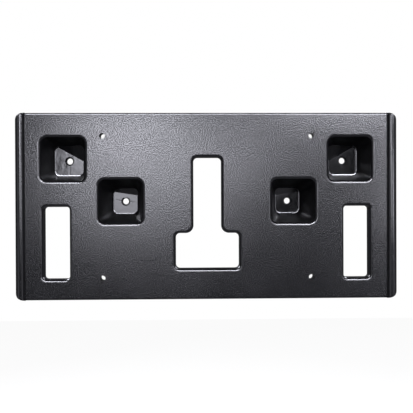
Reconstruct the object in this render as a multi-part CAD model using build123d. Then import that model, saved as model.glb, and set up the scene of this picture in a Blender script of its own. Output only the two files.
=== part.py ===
import os
from math import cos, radians, sin, tan

from build123d import *

# Number plate holder: one injection-moulded tray that is screwed to a bumper and carries a number plate.
# The front face lies in the XZ plane and looks along -Y. The origin is the middle of the four plate screws.
# Lengths are millimetres, angles degrees, and a depth is measured from the face towards +Y.

# Number plate that the holder carries, with its standard screw pattern
plate_width = 304.8
plate_side_gap = 1.3
plate_screw_pitch_x = 177.8
plate_screw_pitch_z = 120.65
plate_screw_hole = 4.8

# Tray: face, perimeter wall and the round beads that frame the plate at both ends
tray_height = 158.5
tray_centre_z = 0.6
tray_depth = 12.0
tray_draft = 1.0
corner_radius = 7.8
face_edge_round = 1.8
bead_width = 7.9
bead_height = 4.0
bead_round = 3.5
face_wall = 2.8
side_wall = 2.6

# T-shaped opening and the two side slots, sized on the face outside their rounded edge
opening_edge_round = 2.2
opening_draft = 4.5
opening_corner = 4.2
shoulder_corner = 6.0
collar_wall = 2.2
collar_depth = 9.0
stem_width = 29.6
stem_top = 44.8
base_width = 60.0
base_top = -19.8
base_bottom = -55.5
slot_width = 27.2
slot_height = 67.0
slot_pitch = 255.8
slot_centre_z = -30.4
slot_corner = 3.4

# Screw pockets that reach back to the bumper, sized on the face outside their rounded edge
pocket_mouth = 43.0
pocket_edge_round = 2.7
pocket_corner = 5.25
pocket_floor_edge = 1.0
pocket_draft = 10.1
pocket_wall = 2.8
pocket_floor_wall = 4.0
bumper_screw_hole = 5.5

# Each pocket floor is a flat screw seat. Above a crease it leans forward, as the bumper behind it does.
facet_tilt = 22.0
upper_pitch = 244.5
upper_centre_z = 40.6
upper_depth = 31.5
upper_crease_angle = 29.0
upper_crease_gap = 5.9
lower_pitch = 147.2
lower_centre_z = 4.7
lower_depth = 41.5
lower_crease_angle = 8.5
lower_crease_gap = 6.9

# Bosses behind the plate screws, upright ribs through them, and level ribs from the T to the slots
boss_width = 10.0
boss_depth = 11.0
rib_wall = 1.8
rib_depth = 8.0
level_rib_z = -38.0

face_half_width = plate_width / 2 + plate_side_gap
half_width = face_half_width + bead_width
half_height = tray_height / 2
cut_margin = 1.0


def plane_at(depth):
    # Sketch plane at a depth behind the face. Its X and Y run along the part's X and Z.
    return Plane.XZ.offset(-depth)


def tray_outline(inset):
    # Outline of the tray at the face, moved inward.
    return RectangleRounded(2 * (half_width - inset), 2 * (half_height - inset), corner_radius - inset)


def drafted_block(outline, front, rear, angle):
    # Block of an outline between two depths. The outline holds at the face, and the sides spread to the rear.
    block = extrude(plane_at(rear) * outline, amount=rear - front)
    sides = [face for face in block.faces() if abs(face.normal_at().Y) < 0.5]
    return draft(sides, plane_at(0), angle)


def tray_prism(inset, front, rear):
    # The tray's outline between two depths, moved inward.
    return drafted_block(tray_outline(inset), front, rear, tray_draft)


def slab(half_x, half_z):
    # Block through the tray from front to rear, centred on it.
    return Box(2 * half_x, 4 * tray_depth, 2 * half_z)


def tray_middle():
    # The tray between the beads, with its long front edges rounded.
    block = tray_prism(0, 0, tray_depth) & slab(face_half_width, tray_height)
    front = block.faces().sort_by(Axis.Y)[0]
    return fillet(front.edges().filter_by(Axis.X), face_edge_round)


def spread(depth):
    # How far the tray's drafted walls have moved outward at a depth.
    return depth * tan(radians(tray_draft))


def tray_end():
    # Right-hand end of the tray, raised above the face as a bead with a rounded crown and rounded ends.
    front = -bead_height
    across = Polygon(
        (face_half_width, tray_depth),
        (face_half_width, front),
        (half_width + spread(front), front),
        (half_width + spread(tray_depth), tray_depth),
        align=None,
    )
    along = Polygon(
        (tray_depth, -half_height - spread(tray_depth)),
        (front, -half_height - spread(front)),
        (front, half_height + spread(front)),
        (tray_depth, half_height + spread(tray_depth)),
        align=None,
    )
    across = fillet(across.vertices().group_by(Axis.Y)[0], bead_round)
    along = fillet(along.vertices().group_by(Axis.X)[0], bead_round)
    bar = extrude(Plane.XY * across, amount=tray_height, both=True)
    ends = extrude(Plane.YZ * along, amount=2 * half_width, both=True)
    return bar & ends & tray_prism(0, front - cut_margin, tray_depth)


def tray_hollow():
    # Space inside the tray, with a groove behind the straight run of each bead so that its walls stay even.
    space = tray_prism(side_wall, face_wall, tray_depth + cut_margin)
    groove_front = face_wall - bead_height
    grooves = tray_prism(side_wall, groove_front, face_wall + cut_margin)
    grooves &= slab(half_width, half_height - corner_radius)
    grooves -= slab(face_half_width + side_wall, tray_height)
    return space + grooves


def both_sides(shape):
    # The shape and its mirror image about the middle plane.
    return [shape, mirror(shape, about=Plane.YZ)]


def t_outline(inset):
    # The T-shaped opening, moved inward from its rounded edge.
    stem_z = (stem_top + base_bottom) / 2
    base_z = (base_top + base_bottom) / 2
    stem = Pos(0, stem_z) * Rectangle(stem_width - 2 * inset, stem_top - base_bottom - 2 * inset)
    base = Pos(0, base_z) * Rectangle(base_width - 2 * inset, base_top - base_bottom - 2 * inset)
    shape = stem + base
    shoulder_z = base_top - inset
    shoulders = [v for v in shape.vertices() if abs(v.Y - shoulder_z) < 0.01 and abs(v.X) < base_width / 4]
    shape = fillet(shoulders, shoulder_corner)
    outer = [v for v in shape.vertices() if is_square_corner(v)]
    return fillet(outer, opening_corner)


def is_square_corner(vertex):
    # True at the six outer corners of the T, which lie on its top or at the ends of its base.
    near_base_end = abs(abs(vertex.X) - base_width / 2) < opening_edge_round + 0.01
    near_top = abs(vertex.Y - stem_top) < opening_edge_round + 0.01
    return near_base_end or near_top


def slot_outline(inset):
    # The right-hand slot, moved inward from its rounded edge.
    shape = RectangleRounded(slot_width - 2 * inset, slot_height - 2 * inset, slot_corner)
    return Pos(slot_pitch / 2, slot_centre_z) * shape


def collar(outline):
    # Wall that stands behind an opening's edge.
    return extrude(plane_at(0) * offset(outline, collar_wall), amount=-collar_depth)


def opening_cut(outline):
    # Drafted cut through face and collar, narrower at the rear.
    return drafted_block(outline, 0, collar_depth + cut_margin, -opening_draft)


def facet_plane(floor_depth, crease_angle, crease_gap, back):
    # The leaning part of a right-hand floor. It meets the flat seat in the crease, and looks to the front.
    lean = radians(facet_tilt)
    turn = radians(crease_angle)
    up = Vector(-sin(turn), 0, cos(turn))
    along = Vector(-cos(turn), 0, -sin(turn))
    looking = Vector(0, -cos(lean), 0) - up * sin(lean)
    start = up * crease_gap + Vector(0, floor_depth, 0) - looking * back
    return Plane(origin=start, x_dir=along, z_dir=looking)


def pocket_block(depth, grow):
    # Tapered block of one right-hand pocket, centred on its screw: the hollow, or the tower around it.
    side = pocket_mouth - 2 * pocket_edge_round + 2 * grow
    block = drafted_block(Rectangle(side, side), 0, depth, -pocket_draft)
    upright = [edge for edge in block.edges() if edge.bounding_box().size.Y > depth / 2]
    return fillet(upright, pocket_corner + grow)


def pocket_hollow(floor_depth, crease_angle, crease_gap):
    # Inside of one right-hand pocket, with a small bevel where seat and walls meet.
    block = pocket_block(floor_depth, 0)
    seat = block.faces().sort_by(Axis.Y)[-1]
    block = chamfer(seat.edges(), pocket_floor_edge)
    return split(block, bisect_by=facet_plane(floor_depth, crease_angle, crease_gap, 0), keep=Keep.TOP)


def pocket_tower(floor_depth, crease_angle, crease_gap):
    # Outside of one right-hand pocket, behind the face.
    block = pocket_block(floor_depth + pocket_floor_wall, pocket_wall / cos(radians(pocket_draft)))
    facet = facet_plane(floor_depth, crease_angle, crease_gap, pocket_floor_wall)
    return split(block, bisect_by=facet, keep=Keep.TOP)


def rod(width, x, z, rear):
    # Round bar along Y, from in front of the face to a depth.
    return extrude(plane_at(rear) * (Pos(x, z) * Circle(width / 2)), amount=rear + cut_margin)


def screw_hole(floor_depth):
    # Hole through a pocket's seat, centred on the origin.
    return rod(bumper_screw_hole, 0, 0, floor_depth + pocket_floor_wall + cut_margin)


def boss(x, z):
    # Cylinder behind one plate screw.
    return extrude(plane_at(0) * (Pos(x, z) * Circle(boss_width / 2)), amount=-boss_depth)


def rib(x1, z1, x2, z2):
    # Upright or level rib behind the face, between two points.
    middle = Pos((x1 + x2) / 2, (z1 + z2) / 2)
    strip = Rectangle(abs(x2 - x1) + rib_wall, abs(z2 - z1) + rib_wall)
    return extrude(plane_at(face_wall / 2) * (middle * strip), amount=face_wall / 2 - rib_depth)


def ribs():
    # Ribs of both halves. Openings and pockets are cut through them afterwards.
    wall_reach = half_height - side_wall / 2
    boss_x = plate_screw_pitch_x / 2
    slot_edge = slot_pitch / 2 - slot_width / 2
    upright = rib(boss_x, tray_centre_z - wall_reach, boss_x, tray_centre_z + wall_reach)
    level = rib(base_width / 2, level_rib_z, slot_edge, level_rib_z)
    return both_sides(upright) + both_sides(level)


def build():
    # Shell of the tray with its beads
    body = Pos(0, 0, tray_centre_z) * (tray_middle() + both_sides(tray_end()) - tray_hollow())

    # Everything that stands behind the face
    t_shape = t_outline(opening_edge_round)
    slot_shape = slot_outline(opening_edge_round)
    upper = Pos(upper_pitch / 2, 0, upper_centre_z)
    lower = Pos(lower_pitch / 2, 0, lower_centre_z)
    upper_form = (upper_depth, upper_crease_angle, upper_crease_gap)
    lower_form = (lower_depth, lower_crease_angle, lower_crease_gap)
    plate_screws = GridLocations(plate_screw_pitch_x, plate_screw_pitch_z, 2, 2).locations
    screw_places = [(place.position.X, place.position.Y) for place in plate_screws]
    behind = [collar(t_shape), *both_sides(collar(slot_shape))]
    behind += both_sides(upper * pocket_tower(*upper_form))
    behind += both_sides(lower * pocket_tower(*lower_form))
    behind += [boss(x, z) for x, z in screw_places]
    behind += ribs()
    body += behind

    # Openings, pockets and screw holes
    body -= [opening_cut(t_shape), *both_sides(opening_cut(slot_shape))]
    body -= both_sides(upper * pocket_hollow(*upper_form))
    body -= both_sides(lower * pocket_hollow(*lower_form))
    body = round_mouths(body)
    body -= [rod(plate_screw_hole, x, z, boss_depth + cut_margin) for x, z in screw_places]
    body -= both_sides(upper * screw_hole(upper_depth))
    body -= both_sides(lower * screw_hole(lower_depth))
    return body


def round_mouths(body):
    # Rounds the edge of every opening and pocket on the face.
    flat = body.faces().filter_by(Axis.Y).filter_by(lambda face: abs(face.center().Y) < 0.001)
    face = flat.sort_by(SortBy.AREA)[-1]
    pocket_side = pocket_mouth - 2 * pocket_edge_round
    pockets = ShapeList()
    openings = ShapeList()
    for wire in face.inner_wires():
        size = wire.bounding_box().size
        is_pocket = max(abs(size.X - pocket_side), abs(size.Z - pocket_side)) < 0.1
        (pockets if is_pocket else openings).extend(wire.edges())
    middles = [edge.center() for edge in openings]
    body = fillet(pockets, pocket_edge_round)
    openings = [edge for edge in body.edges() if any((edge.center() - m).length < 0.001 for m in middles)]
    return fillet(openings, opening_edge_round)


os.makedirs("parts", exist_ok=True)
holder = build()
export_step(holder, "parts/plate_holder.step")
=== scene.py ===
import math
import bpy
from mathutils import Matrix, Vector


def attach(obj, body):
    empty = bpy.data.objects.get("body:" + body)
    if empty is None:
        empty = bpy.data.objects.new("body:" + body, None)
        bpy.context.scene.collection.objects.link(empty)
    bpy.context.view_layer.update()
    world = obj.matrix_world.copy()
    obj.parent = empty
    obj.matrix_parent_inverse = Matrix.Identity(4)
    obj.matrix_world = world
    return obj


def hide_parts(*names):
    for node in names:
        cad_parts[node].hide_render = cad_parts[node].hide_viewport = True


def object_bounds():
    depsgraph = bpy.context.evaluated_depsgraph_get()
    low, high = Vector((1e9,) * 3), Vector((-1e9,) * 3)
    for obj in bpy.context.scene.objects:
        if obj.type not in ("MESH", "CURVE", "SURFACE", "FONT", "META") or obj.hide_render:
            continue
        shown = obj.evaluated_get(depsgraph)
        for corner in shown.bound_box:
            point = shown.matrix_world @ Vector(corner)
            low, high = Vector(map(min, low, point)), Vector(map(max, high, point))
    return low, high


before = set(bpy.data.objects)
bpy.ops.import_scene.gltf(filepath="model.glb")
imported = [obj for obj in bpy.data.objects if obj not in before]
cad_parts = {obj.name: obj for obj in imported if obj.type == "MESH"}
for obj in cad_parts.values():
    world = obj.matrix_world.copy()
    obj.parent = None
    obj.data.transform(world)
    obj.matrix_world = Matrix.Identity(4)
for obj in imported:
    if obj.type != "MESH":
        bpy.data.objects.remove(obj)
cadLow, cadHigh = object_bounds()
scene = bpy.context.scene
print("frame loaded:", sorted(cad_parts))

print("materials")


def newGroup(name, inputs, outputs):
    group = bpy.data.node_groups.new(name, "ShaderNodeTree")
    for label, kind, value in inputs:
        socket = group.interface.new_socket(name=label, in_out="INPUT", socket_type=kind)
        if value is not None:
            socket.default_value = value
    for label, kind in outputs:
        group.interface.new_socket(name=label, in_out="OUTPUT", socket_type=kind)
    start = group.nodes.new("NodeGroupInput")
    end = group.nodes.new("NodeGroupOutput")
    return group, start, end


def addNode(tree, kind, settings=None, values=None):
    node = tree.nodes.new(kind)
    for key, value in (settings or {}).items():
        setattr(node, key, value)
    for key, value in (values or {}).items():
        node.inputs[key].default_value = value
    return node


def mathNode(tree, operation, first, second=None, clamp=False):
    node = addNode(tree, "ShaderNodeMath", {"operation": operation, "use_clamp": clamp})
    for place, value in enumerate((first, second)):
        if value is None:
            continue
        if isinstance(value, (int, float)):
            node.inputs[place].default_value = value
        else:
            tree.links.new(value, node.inputs[place])
    return node.outputs[0]


def rangeNode(tree, value, fromLow, fromHigh, toLow, toHigh):
    node = addNode(tree, "ShaderNodeMapRange", {"interpolation_type": "SMOOTHSTEP"})
    tree.links.new(value, node.inputs["Value"])
    node.inputs["From Min"].default_value = fromLow
    node.inputs["From Max"].default_value = fromHigh
    node.inputs["To Min"].default_value = toLow
    node.inputs["To Max"].default_value = toHigh
    return node.outputs["Result"]


pebbleMix = {
    "smoothness": 0.6,
    "pebbleEdge": 0.75,  # the distance at which a pebble has run out
    "fineScale": 1.2,  # grains of the finer noise for each pebble
    "pebbleShare": 0.7,
    "fineShare": 0.3,
    "pits": (0.42, 0.60),  # noise under the first is a pit, over the second a top
}


def makePebbleGrain():
    # rounded pebbles from the mould's texture, with finer noise on them
    group, start, end = newGroup(
        "pebbleGrain",
        (("Vector", "NodeSocketVector", None), ("Pebbles per metre", "NodeSocketFloat", 900.0)),
        (("Height", "NodeSocketFloat"), ("Hollow", "NodeSocketFloat")),
    )
    cells = addNode(
        group, "ShaderNodeTexVoronoi", {"feature": "SMOOTH_F1"},
        {"Smoothness": pebbleMix["smoothness"], "Randomness": 1.0},
    )
    fine = addNode(group, "ShaderNodeTexNoise", None, {"Detail": 0.5, "Roughness": 0.5})
    group.links.new(start.outputs["Vector"], cells.inputs["Vector"])
    group.links.new(start.outputs["Pebbles per metre"], cells.inputs["Scale"])
    group.links.new(start.outputs["Vector"], fine.inputs["Vector"])
    fineScale = mathNode(group, "MULTIPLY", start.outputs["Pebbles per metre"], pebbleMix["fineScale"])
    group.links.new(fineScale, fine.inputs["Scale"])
    pebble = rangeNode(group, cells.outputs["Distance"], 0.0, pebbleMix["pebbleEdge"], 1.0, 0.0)
    coarse = mathNode(group, "MULTIPLY", pebble, pebbleMix["pebbleShare"])
    small = mathNode(group, "MULTIPLY", fine.outputs["Fac"], pebbleMix["fineShare"])
    pit, top = pebbleMix["pits"]
    group.links.new(mathNode(group, "ADD", coarse, small), end.inputs["Height"])
    group.links.new(rangeNode(group, fine.outputs["Fac"], pit, top, 1.0, 0.0), end.inputs["Hollow"])
    return group


flowMix = {
    "fleckScale": 18.0,  # flecks for each cloud
    "cloud": (0.3, 0.7),  # noise that counts as none and as all
    "fleck": (0.35, 0.7),
}


def makeMouldFlow():
    # slow changes of tone and gloss where the melt flowed and cooled
    group, start, end = newGroup(
        "mouldFlow",
        (("Vector", "NodeSocketVector", None), ("Scale", "NodeSocketFloat", 14.0)),
        (("Cloud", "NodeSocketFloat"), ("Fleck", "NodeSocketFloat")),
    )
    cloud = addNode(group, "ShaderNodeTexNoise", None, {"Detail": 3.0, "Roughness": 0.55, "Distortion": 0.4})
    fleck = addNode(group, "ShaderNodeTexNoise", None, {"Detail": 2.0, "Roughness": 0.5})
    group.links.new(start.outputs["Vector"], cloud.inputs["Vector"])
    group.links.new(start.outputs["Scale"], cloud.inputs["Scale"])
    group.links.new(start.outputs["Vector"], fleck.inputs["Vector"])
    fleckScale = mathNode(group, "MULTIPLY", start.outputs["Scale"], flowMix["fleckScale"])
    group.links.new(fleckScale, fleck.inputs["Scale"])
    group.links.new(rangeNode(group, cloud.outputs["Fac"], *flowMix["cloud"], 0.0, 1.0), end.inputs["Cloud"])
    group.links.new(rangeNode(group, fleck.outputs["Fac"], *flowMix["fleck"], 0.0, 1.0), end.inputs["Fleck"])
    return group


def makeShallowWave():
    # the shallow waves that every moulded surface has
    group, start, end = newGroup(
        "shallowWave",
        (("Vector", "NodeSocketVector", None), ("Scale", "NodeSocketFloat", 200.0)),
        (("Height", "NodeSocketFloat"),),
    )
    wave = addNode(group, "ShaderNodeTexNoise", None, {"Detail": 1.0})
    group.links.new(start.outputs["Vector"], wave.inputs["Vector"])
    group.links.new(start.outputs["Scale"], wave.inputs["Scale"])
    group.links.new(wave.outputs["Fac"], end.inputs["Height"])
    return group


# parts of a mark's half length or half width
markProfile = {
    "fade": (0.4, 1.0),
    "ridge": (0.2, 1.0),
    "slope": (-0.85, 1.0),
    "drop": (-1.0, -0.9),
}


def makeLineMark():
    # one straight mark on a face seen from the front, thin and fading at its ends
    group, start, end = newGroup(
        "lineMark",
        (
            ("Vector", "NodeSocketVector", None),
            ("Centre", "NodeSocketVector", None),
            ("Turn", "NodeSocketFloat", 0.0),
            ("Half length", "NodeSocketFloat", 0.01),
            ("Half width", "NodeSocketFloat", 0.0003),
        ),
        (("Mask", "NodeSocketFloat"), ("Ledge", "NodeSocketFloat")),
    )
    shift = addNode(group, "ShaderNodeVectorMath", {"operation": "SUBTRACT"})
    turn = addNode(group, "ShaderNodeVectorRotate", {"rotation_type": "Y_AXIS"})
    parts = addNode(group, "ShaderNodeSeparateXYZ")
    group.links.new(start.outputs["Vector"], shift.inputs[0])
    group.links.new(start.outputs["Centre"], shift.inputs[1])
    group.links.new(shift.outputs[0], turn.inputs["Vector"])
    group.links.new(start.outputs["Turn"], turn.inputs["Angle"])
    group.links.new(turn.outputs[0], parts.inputs[0])
    reach = mathNode(group, "ABSOLUTE", parts.outputs["X"])
    along = mathNode(group, "DIVIDE", reach, start.outputs["Half length"])
    fade = rangeNode(group, along, *markProfile["fade"], 1.0, 0.0)
    across = mathNode(group, "DIVIDE", parts.outputs["Z"], start.outputs["Half width"])
    ridge = rangeNode(group, mathNode(group, "ABSOLUTE", across), *markProfile["ridge"], 1.0, 0.0)
    # the ledge deepens downwards, so that it turns from the light
    slope = rangeNode(group, across, *markProfile["slope"], 1.0, 0.0)
    drop = rangeNode(group, across, *markProfile["drop"], 0.0, 1.0)
    ledge = mathNode(group, "MULTIPLY", slope, drop)
    group.links.new(mathNode(group, "MULTIPLY", fade, ridge), end.inputs["Mask"])
    group.links.new(mathNode(group, "MULTIPLY", fade, ledge), end.inputs["Ledge"])
    return group


pebbleGrain = makePebbleGrain()
mouldFlow = makeMouldFlow()
shallowWave = makeShallowWave()
lineMark = makeLineMark()


def addGroup(tree, group, vector, values):
    node = addNode(tree, "ShaderNodeGroup", {"node_tree": group}, values)
    tree.links.new(vector, node.inputs["Vector"])
    return node


def addMarks(tree, vector, marks, shape):
    # the marks of one material in one mask, each (x, z, degrees, half length, half width, strength)
    flat = addNode(tree, "ShaderNodeVectorMath", {"operation": "MULTIPLY"})
    flat.inputs[1].default_value = (1, 0, 1)  # depth doesn't count
    tree.links.new(vector, flat.inputs[0])
    total = None
    for x, z, turn, reach, width, strength in marks:
        values = {"Centre": (x, 0, z), "Turn": math.radians(turn), "Half length": reach, "Half width": width}
        line = addGroup(tree, lineMark, flat.outputs[0], values)
        mark = mathNode(tree, "MULTIPLY", line.outputs[shape], strength)
        total = mark if total is None else mathNode(tree, "MAXIMUM", total, mark)
    return total


def makePlastic(name, look):
    # black plastic: tone, gloss and grain all vary over the surface
    material = bpy.data.materials.new(name)
    material.use_nodes = True
    tree = material.node_tree
    tree.nodes.clear()
    out = addNode(tree, "ShaderNodeOutputMaterial")
    shader = addNode(tree, "ShaderNodeBsdfPrincipled", None, {"IOR": look["ior"]})
    tree.links.new(shader.outputs["BSDF"], out.inputs["Surface"])
    where = addNode(tree, "ShaderNodeTexCoord").outputs["Object"]
    flow = addGroup(tree, mouldFlow, where, {"Scale": look["flowScale"]})
    grain = addGroup(tree, pebbleGrain, where, {"Pebbles per metre": look["pebbles"]})

    tone = addNode(tree, "ShaderNodeMix", {"data_type": "RGBA"})
    tone.inputs["A"].default_value = look["dark"]
    tone.inputs["B"].default_value = look["light"]
    tree.links.new(flow.outputs["Cloud"], tone.inputs["Factor"])
    tree.links.new(tone.outputs["Result"], shader.inputs["Base Color"])

    gloss = rangeNode(tree, flow.outputs["Cloud"], 0.0, 1.0, look["roughLow"], look["roughHigh"])
    pitted = mathNode(tree, "MULTIPLY", grain.outputs["Hollow"], look["hollowRough"])
    flecked = mathNode(tree, "MULTIPLY", flow.outputs["Fleck"], look["fleckRough"])
    rough = mathNode(tree, "ADD", mathNode(tree, "ADD", gloss, pitted), flecked)

    if "sheen" in look:  # the tops of the pebbles are rubbed glossier than the pits between them
        shader.inputs["Coat Roughness"].default_value = look["sheenRough"]
        tops = mathNode(tree, "SUBTRACT", 1.0, grain.outputs["Hollow"])
        tree.links.new(mathNode(tree, "MULTIPLY", tops, look["sheen"]), shader.inputs["Coat Weight"])

    wave = addGroup(tree, shallowWave, where, {"Scale": look["waveScale"]})
    wavy = addNode(tree, "ShaderNodeBump", None, {"Distance": look["waveHeight"], "Strength": 1.0})
    tree.links.new(wave.outputs["Height"], wavy.inputs["Height"])
    normal = wavy.outputs["Normal"]
    if "marks" in look:
        marks = addMarks(tree, where, look["marks"], look["markShape"])
        rough = mathNode(tree, "ADD", rough, mathNode(tree, "MULTIPLY", marks, look["markRough"]))
        depth = {"Distance": look["markDepth"], "Strength": 1.0}
        cut = addNode(tree, "ShaderNodeBump", {"invert": True}, depth)
        tree.links.new(marks, cut.inputs["Height"])
        tree.links.new(normal, cut.inputs["Normal"])
        normal = cut.outputs["Normal"]
    relief = {"Distance": look["grainHeight"], "Strength": look["grainStrength"]}
    pebbled = addNode(tree, "ShaderNodeBump", None, relief)
    tree.links.new(grain.outputs["Height"], pebbled.inputs["Height"])
    tree.links.new(normal, pebbled.inputs["Normal"])
    tree.links.new(pebbled.outputs["Normal"], shader.inputs["Normal"])
    withinRange = mathNode(tree, "ADD", rough, 0.0, clamp=True)
    tree.links.new(withinRange, shader.inputs["Roughness"])
    return material


# lengths in metres, scales for each metre; "dark" and "light" are the plastic's own colour, except in the
# pocket floors and walls, where they are darker as painted shade
finishes = {
    "grainedFace": {
        "ior": 1.42, "sheen": 0.55, "sheenRough": 0.20,
        "dark": (0.0105, 0.0105, 0.0115, 1), "light": (0.0155, 0.0155, 0.0168, 1),
        "flowScale": 14.0, "pebbles": 950.0,
        "roughLow": 0.17, "roughHigh": 0.19, "hollowRough": 0.03, "fleckRough": 0.02,
        "grainStrength": 0.45, "grainHeight": 0.00012, "waveScale": 260.0, "waveHeight": 0.00001,
        "marks": (
            (-0.0510, -0.0454, 0, 0.0065, 0.00045, 1.0), (-0.0427, -0.0425, 47, 0.0055, 0.00045, 1.0),
            (-0.0446, -0.0574, -6, 0.0130, 0.00045, 0.65), (-0.0680, -0.0625, -25, 0.0085, 0.00045, 0.7),
        ),
        "markShape": "Ledge", "markRough": 0.0, "markDepth": 0.00022,
    },
    "satinEdge": {
        "ior": 1.5, "dark": (0.0105, 0.0105, 0.0115, 1), "light": (0.0155, 0.0155, 0.0168, 1),
        "flowScale": 20.0, "pebbles": 1300.0,
        "roughLow": 0.12, "roughHigh": 0.15, "hollowRough": 0.03, "fleckRough": 0.02,
        "grainStrength": 0.10, "grainHeight": 0.00008, "waveScale": 260.0, "waveHeight": 0.00002,
    },
    # the pocket floors' colour is darker than the face's: painted shade inside the pockets
    "smoothPocketPaintedShade": {
        "ior": 1.5, "dark": (0.0040, 0.0040, 0.0045, 1), "light": (0.0060, 0.0060, 0.0067, 1),
        "flowScale": 60.0, "pebbles": 1500.0,
        "roughLow": 0.10, "roughHigh": 0.13, "hollowRough": 0.02, "fleckRough": 0.01,
        "grainStrength": 0.05, "grainHeight": 0.00005, "waveScale": 230.0, "waveHeight": 0.00005,
        "marks": (
            (-0.12225, 0.0326, 90, 0.0065, 0.0007, 0.6), (0.12225, 0.0326, 90, 0.0065, 0.0007, 0.4),
            (-0.0795, 0.0056, -8, 0.0040, 0.0006, 1.0), (-0.0680, 0.0040, -8, 0.0040, 0.0006, 0.8),
        ),
        "markShape": "Mask", "markRough": 0.06, "markDepth": 0.00004,
    },
    "pocketRim": {
        "ior": 1.8, "dark": (0.0105, 0.0105, 0.0115, 1), "light": (0.0155, 0.0155, 0.0168, 1),
        "flowScale": 60.0, "pebbles": 1500.0,
        "roughLow": 0.10, "roughHigh": 0.13, "hollowRough": 0.02, "fleckRough": 0.01,
        "grainStrength": 0.02, "grainHeight": 0.00005, "waveScale": 230.0, "waveHeight": 0.00002,
    },
    # the pocket walls' colour is darker still: painted shade deep in the pockets
    "pocketWallPaintedShade": {
        "ior": 1.30, "dark": (0.0030, 0.0030, 0.0034, 1), "light": (0.0045, 0.0045, 0.0051, 1),
        "flowScale": 60.0, "pebbles": 1500.0,
        "roughLow": 0.42, "roughHigh": 0.48, "hollowRough": 0.02, "fleckRough": 0.01,
        "grainStrength": 0.05, "grainHeight": 0.00005, "waveScale": 230.0, "waveHeight": 0.00004,
    },
    "mouldedBack": {
        "ior": 1.5, "dark": (0.016, 0.016, 0.017, 1), "light": (0.024, 0.024, 0.0255, 1),
        "flowScale": 10.0, "pebbles": 1600.0,
        "roughLow": 0.34, "roughHigh": 0.42, "hollowRough": 0.04, "fleckRough": 0.04,
        "grainStrength": 0.15, "grainHeight": 0.0001, "waveScale": 120.0, "waveHeight": 0.00006,
    },
}

print("moulded holder")
# the one moulded piece: the solid's own shape, merged and shaded, with a finish for each region
holder = {
    "node": "plate_holder",
    "name": "moulded_holder",
    "slot": "black_plastic",
    "mergeGap": 0.000002,
    "samePlane": 0.0001,  # points nearer than this share a plane or an edge
    "smoothAngle": 20,  # degrees, under the lean of the pocket floors so that their crease stays crisp
    "beadFoot": 0.1537,  # where the plate's face ends and a bead begins
    "flatFace": 0.9995,  # what leans further than this from the front is a rounded edge
    "sideOn": 0.5,  # what looks back more than this belongs to the back
    "backFrom": 0.0095,  # past this depth the outside has the back's finish
    "pockets": ((0.12225, 0.0406), (0.0736, 0.0047)),  # x and z of the screw holes on the right
    "pocketHalf": 0.0200,
    "pocketFrom": 0.0012,  # past this depth a pocket's own finishes begin
    "screwHole": 0.00275,  # radius
    "leadIn": 0.0013,
    "seatFlat": 0.9999,  # what looks to the front more than this is a seat
    "seatAngle": 0.1,  # degrees between triangles of one seat
    "rimDepth": 0.0150,  # past this depth the pocket floors and the bevels round them lie
    "rimLean": (0.35, 0.88),  # how much a bevel looks to the front, from a wall to a floor
    "rimNear": 0.3,  # a floor or wall turned further than this from a bevel isn't its neighbour
    "lowerRim": 0.25,  # a bevel that looks up more than this is under a seat
    "rimTurn": 0.45,  # how far a bevel's shading turns from the floor towards the wall
}


def nearScrewHole(place):
    reach = holder["screwHole"] + 2 * holder["leadIn"]
    return any(math.hypot(abs(place.x) - x, place.z - z) < reach for x, z in holder["pockets"])


def onPocketRim(face):
    # the small bevel between a pocket's floor and its walls
    if face.center.y < holder["rimDepth"] or abs(face.center.x) > holder["beadFoot"]:
        return False
    least, most = holder["rimLean"]
    return least < -face.normal.y < most and not nearScrewHole(face.center)


def finishOf(face):
    # the region that a face of the solid belongs to, from its place and the way it looks
    x, y, z = abs(face.center.x), face.center.y, face.center.z
    front = -face.normal.y
    outward = face.normal.x if face.center.x > 0 else -face.normal.x
    wallLean, floorLean = holder["rimLean"]
    for pocketX, pocketZ in holder["pockets"]:
        dx, dz = x - pocketX, z - pocketZ
        if max(abs(dx), abs(dz)) < holder["pocketHalf"] and y > holder["pocketFrom"]:
            facesIn = outward * dx + face.normal.z * dz < 0
            if onPocketRim(face):  # the lower rim is the glossier one
                return "pocketRim" if face.normal.z > holder["lowerRim"] else "smoothPocketPaintedShade"
            # pocket floors and walls take the finishes whose darker colour is painted shade
            if front > floorLean:
                return "smoothPocketPaintedShade"
            if facesIn or front > wallLean:
                return "pocketWallPaintedShade"
    if x > holder["beadFoot"] - holder["samePlane"] and front > -holder["sideOn"]:
        return "satinEdge"
    if front < -holder["sideOn"] or y > holder["backFrom"]:
        return "mouldedBack"
    if front < holder["flatFace"]:
        return "satinEdge"
    return "grainedFace"


def softenPocketRims(mesh):
    # the small bevel round a pocket's floor is shaded as the hollow round that a mould leaves there
    rims = []
    beside = {}  # the corners of floors and walls at each point, with the size of their face
    toFront = Vector((0, -1, 0))
    for face in mesh.polygons:
        onLeadIn = nearScrewHole(face.center) and -face.normal.y < holder["rimLean"][1]
        if face.center.y < holder["rimDepth"] or onLeadIn:
            continue
        if onPocketRim(face):
            rims.append(face)
            continue
        for loop in face.loop_indices:
            beside.setdefault(mesh.loops[loop].vertex_index, []).append((face.area, loop))
    normals = [corner.vector.copy() for corner in mesh.corner_normals]
    leaning = list(normals)
    for face in rims:
        for loop in face.loop_indices:
            corners = beside.get(mesh.loops[loop].vertex_index, [])
            near = [corner for corner in corners if normals[corner[1]].dot(face.normal) > holder["rimNear"]]
            if near:
                leaning[loop] = normals[max(near)[1]]
                if leaning[loop].y > face.normal.y:  # the wall's side of the bevel
                    leaning[loop] = toFront.slerp(leaning[loop], holder["rimTurn"])
    mesh.normals_split_custom_set(leaning)
    print("pocket rims:", len(rims), "faces")


def clearSelection(kind):
    bpy.ops.object.mode_set(mode="EDIT")
    bpy.ops.mesh.select_mode(type=kind)
    bpy.ops.mesh.select_all(action="DESELECT")
    bpy.ops.object.mode_set(mode="OBJECT")


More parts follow.
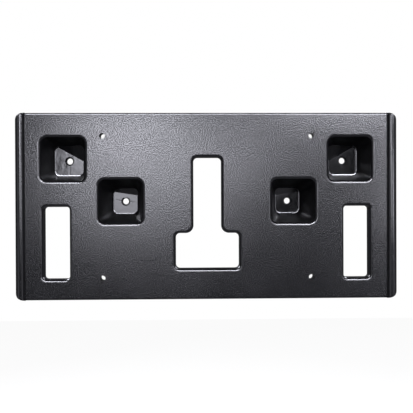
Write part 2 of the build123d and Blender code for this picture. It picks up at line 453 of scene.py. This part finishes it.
def flattenSeats(mesh):
    # the triangles of each seat become one flat face, so that its lead-in comes out round
    clearSelection("FACE")
    for face in mesh.polygons:
        face.select = -face.normal.y > holder["seatFlat"] and face.center.y > holder["rimDepth"]
    bpy.ops.object.mode_set(mode="EDIT")
    bpy.ops.mesh.dissolve_limited(angle_limit=math.radians(holder["seatAngle"]))
    bpy.ops.object.mode_set(mode="OBJECT")


def easeScrewHoles(mesh):
    # the lead-in that a screw finds at the front of each hole in a pocket's floor
    flattenSeats(mesh)
    rims = set()
    seats = []
    for pocketX, pocketZ in holder["pockets"]:
        for side in (-1, 1):
            ring = []
            for point in mesh.vertices:
                radius = math.hypot(point.co.x - side * pocketX, point.co.z - pocketZ)
                if abs(radius - holder["screwHole"]) < holder["samePlane"] / 2:
                    ring.append(point)
            front = min(point.co.y for point in ring)
            seats.append(Vector((side * pocketX, front, pocketZ)))
            rims.update(point.index for point in ring if point.co.y < front + holder["samePlane"])
    clearSelection("EDGE")
    for edge in mesh.edges:
        edge.select = all(index in rims for index in edge.vertices)
    bpy.ops.object.mode_set(mode="EDIT")
    bpy.ops.mesh.bevel(offset=holder["leadIn"], segments=1, affect="EDGES")
    bpy.ops.object.mode_set(mode="OBJECT")
    for point in mesh.vertices:  # the outer ring is drawn to a true circle
        for seat in seats:
            out = point.co - seat
            if point.select and abs(out.y) < holder["samePlane"] and out.length < holder["pocketHalf"]:
                out.length = holder["screwHole"] + holder["leadIn"]
                point.co = seat + out
    print("screw holes eased:", len(rims), "points")


def buildHolder():
    bpy.ops.object.select_all(action="DESELECT")
    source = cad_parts[holder["node"]]
    source.select_set(True)
    bpy.context.view_layer.objects.active = source
    bpy.ops.object.duplicate()
    piece = bpy.context.active_object
    piece.name = holder["name"]
    piece.data.name = holder["name"]
    for key in list(piece.keys()):  # the copy is a new piece, so the node's own tags come off
        if key.startswith("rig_"):
            del piece[key]
    bpy.ops.object.mode_set(mode="EDIT")
    bpy.ops.mesh.select_all(action="SELECT")
    bpy.ops.mesh.remove_doubles(threshold=holder["mergeGap"])
    bpy.ops.object.mode_set(mode="OBJECT")
    easeScrewHoles(piece.data)
    if piece.data.has_custom_normals:
        bpy.ops.mesh.customdata_custom_splitnormals_clear()
    piece.data.materials.clear()
    order = list(finishes)
    for name in order:
        piece.data.materials.append(makePlastic(name, finishes[name]))
    for face in piece.data.polygons:
        face.material_index = order.index(finishOf(face))
    bpy.ops.object.shade_smooth_by_angle(angle=math.radians(holder["smoothAngle"]))
    even = piece.modifiers.new("evenNormals", "WEIGHTED_NORMAL")
    even.mode = "FACE_AREA"
    even.weight = 100
    even.keep_sharp = True
    bpy.ops.object.modifier_apply(modifier=even.name)
    softenPocketRims(piece.data)
    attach(piece, "root")
    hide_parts(holder["node"])
    print("holder:", len(piece.data.polygons), "faces")


buildHolder()

print("stage")
stage = {
    "floorSize": 8.0,
    "floorDrop": 0.75,  # metres under the part, so that the face mirrors none of it
    "floorTone": (0.12, 0.12, 0.12, 1),
    "floorGlow": 0.95,  # what the camera sees added, so that a lit floor is white and a shadow stays
    "worldTone": (0.03, 0.03, 0.0315, 1),
}


def buildFloor():
    bpy.ops.object.select_all(action="DESELECT")
    bpy.ops.mesh.primitive_plane_add(size=stage["floorSize"], location=(0, 0, cadLow.z - stage["floorDrop"]))
    floor = bpy.context.active_object
    floor.name = "floor"
    material = bpy.data.materials.new("paleFloor")
    material.use_nodes = True
    tree = material.node_tree
    tree.nodes.clear()
    out = addNode(tree, "ShaderNodeOutputMaterial")
    paint = addNode(tree, "ShaderNodeBsdfDiffuse", None, {"Color": stage["floorTone"]})
    glow = addNode(tree, "ShaderNodeEmission", None, {"Color": (1, 1, 1, 1), "Strength": stage["floorGlow"]})
    both = addNode(tree, "ShaderNodeAddShader")
    pick = addNode(tree, "ShaderNodeMixShader")
    path = addNode(tree, "ShaderNodeLightPath")
    tree.links.new(paint.outputs[0], both.inputs[0])
    tree.links.new(glow.outputs[0], both.inputs[1])
    tree.links.new(path.outputs["Is Camera Ray"], pick.inputs[0])
    tree.links.new(paint.outputs[0], pick.inputs[1])
    tree.links.new(both.outputs[0], pick.inputs[2])
    tree.links.new(pick.outputs[0], out.inputs["Surface"])
    floor.data.materials.append(material)


def buildWorld():
    world = bpy.data.worlds.new("studio")
    scene.world = world
    world.use_nodes = True
    tree = world.node_tree
    tree.nodes.clear()
    out = addNode(tree, "ShaderNodeOutputWorld")
    room = addNode(tree, "ShaderNodeBackground", None, {"Color": stage["worldTone"], "Strength": 1.0})
    white = addNode(tree, "ShaderNodeBackground", None, {"Color": (1, 1, 1, 1), "Strength": 1.0})
    pick = addNode(tree, "ShaderNodeMixShader")
    path = addNode(tree, "ShaderNodeLightPath")
    tree.links.new(path.outputs["Is Camera Ray"], pick.inputs[0])
    tree.links.new(room.outputs[0], pick.inputs[1])
    tree.links.new(white.outputs[0], pick.inputs[2])
    tree.links.new(pick.outputs[0], out.inputs["Surface"])


buildFloor()
buildWorld()

print("lamps")
lampTint = (0.985, 0.988, 1.09)  # a cool daylight
# the top lamp draws the bright lines on the rounded edges
# it lights gloss only, so that colours keep a plain level
lamps = {
    "keyLamp": {"at": (-0.285, -1.953, 0.315), "size": (0.44, 0.25), "power": 4.5},
    "sideLamp": {"at": (-0.255, -1.980, 0.095), "size": (0.53, 0.38), "power": 4.6},
    "nearLamp": {"at": (0.139, -1.988, 0.174), "size": (0.25, 0.25), "power": 1.7},
    "fillLamp": {"at": (0.670, -1.812, 0.518), "size": (0.74, 0.25), "power": 16.8},
    "lowLamp": {"at": (0.845, -1.812, 0.024), "size": (0.25, 0.25), "power": 2.4},
    "topLamp": {"at": (0.000, -1.532, 1.286), "size": (1.70, 0.40), "power": 125.0, "glossOnly": True},
    "leftPanel": {"at": (-1.330, -1.480, -0.180), "size": (1.20, 1.60), "power": 4.0},
    "rightPanel": {"at": (1.330, -1.480, -0.180), "size": (1.20, 1.60), "power": 4.0},
    "backLeftLamp": {"at": (-1.2, 1.5, 0.9), "size": (1.0, 1.0), "power": 60.0},
    "backRightLamp": {"at": (1.2, 1.5, 0.9), "size": (1.0, 1.0), "power": 40.0},
}


def buildLamps():
    for name, lamp in lamps.items():
        bpy.ops.object.light_add(type="AREA", location=lamp["at"])
        light = bpy.context.active_object
        light.name = name
        light.data.shape = "RECTANGLE"
        light.data.size, light.data.size_y = lamp["size"]
        light.data.energy = lamp["power"]
        light.data.color = lampTint
        light.visible_diffuse = not lamp.get("glossOnly", False)
        light.rotation_euler = (-Vector(lamp["at"])).to_track_quat("-Z", "Y").to_euler()


buildLamps()

print("camera")
camera = {
    "at": (-0.00788, -0.55942, 0.00664),
    "turn": (89.696, 0.227, -1.564),  # degrees
    "lens": 57.39,
    "sensor": 36,
    "shift": (-0.0231, -0.0100),  # the photo is cropped a little off its centre
    "clip": (0.01, 50),
}


def buildCamera():
    turn = [math.radians(angle) for angle in camera["turn"]]
    bpy.ops.object.camera_add(location=camera["at"], rotation=turn)
    eye = bpy.context.active_object
    eye.name = "eye"
    eye.data.lens = camera["lens"]
    eye.data.sensor_width = camera["sensor"]
    eye.data.shift_x, eye.data.shift_y = camera["shift"]
    eye.data.clip_start, eye.data.clip_end = camera["clip"]
    scene.camera = eye


buildCamera()
scene.view_settings.view_transform = "Standard"
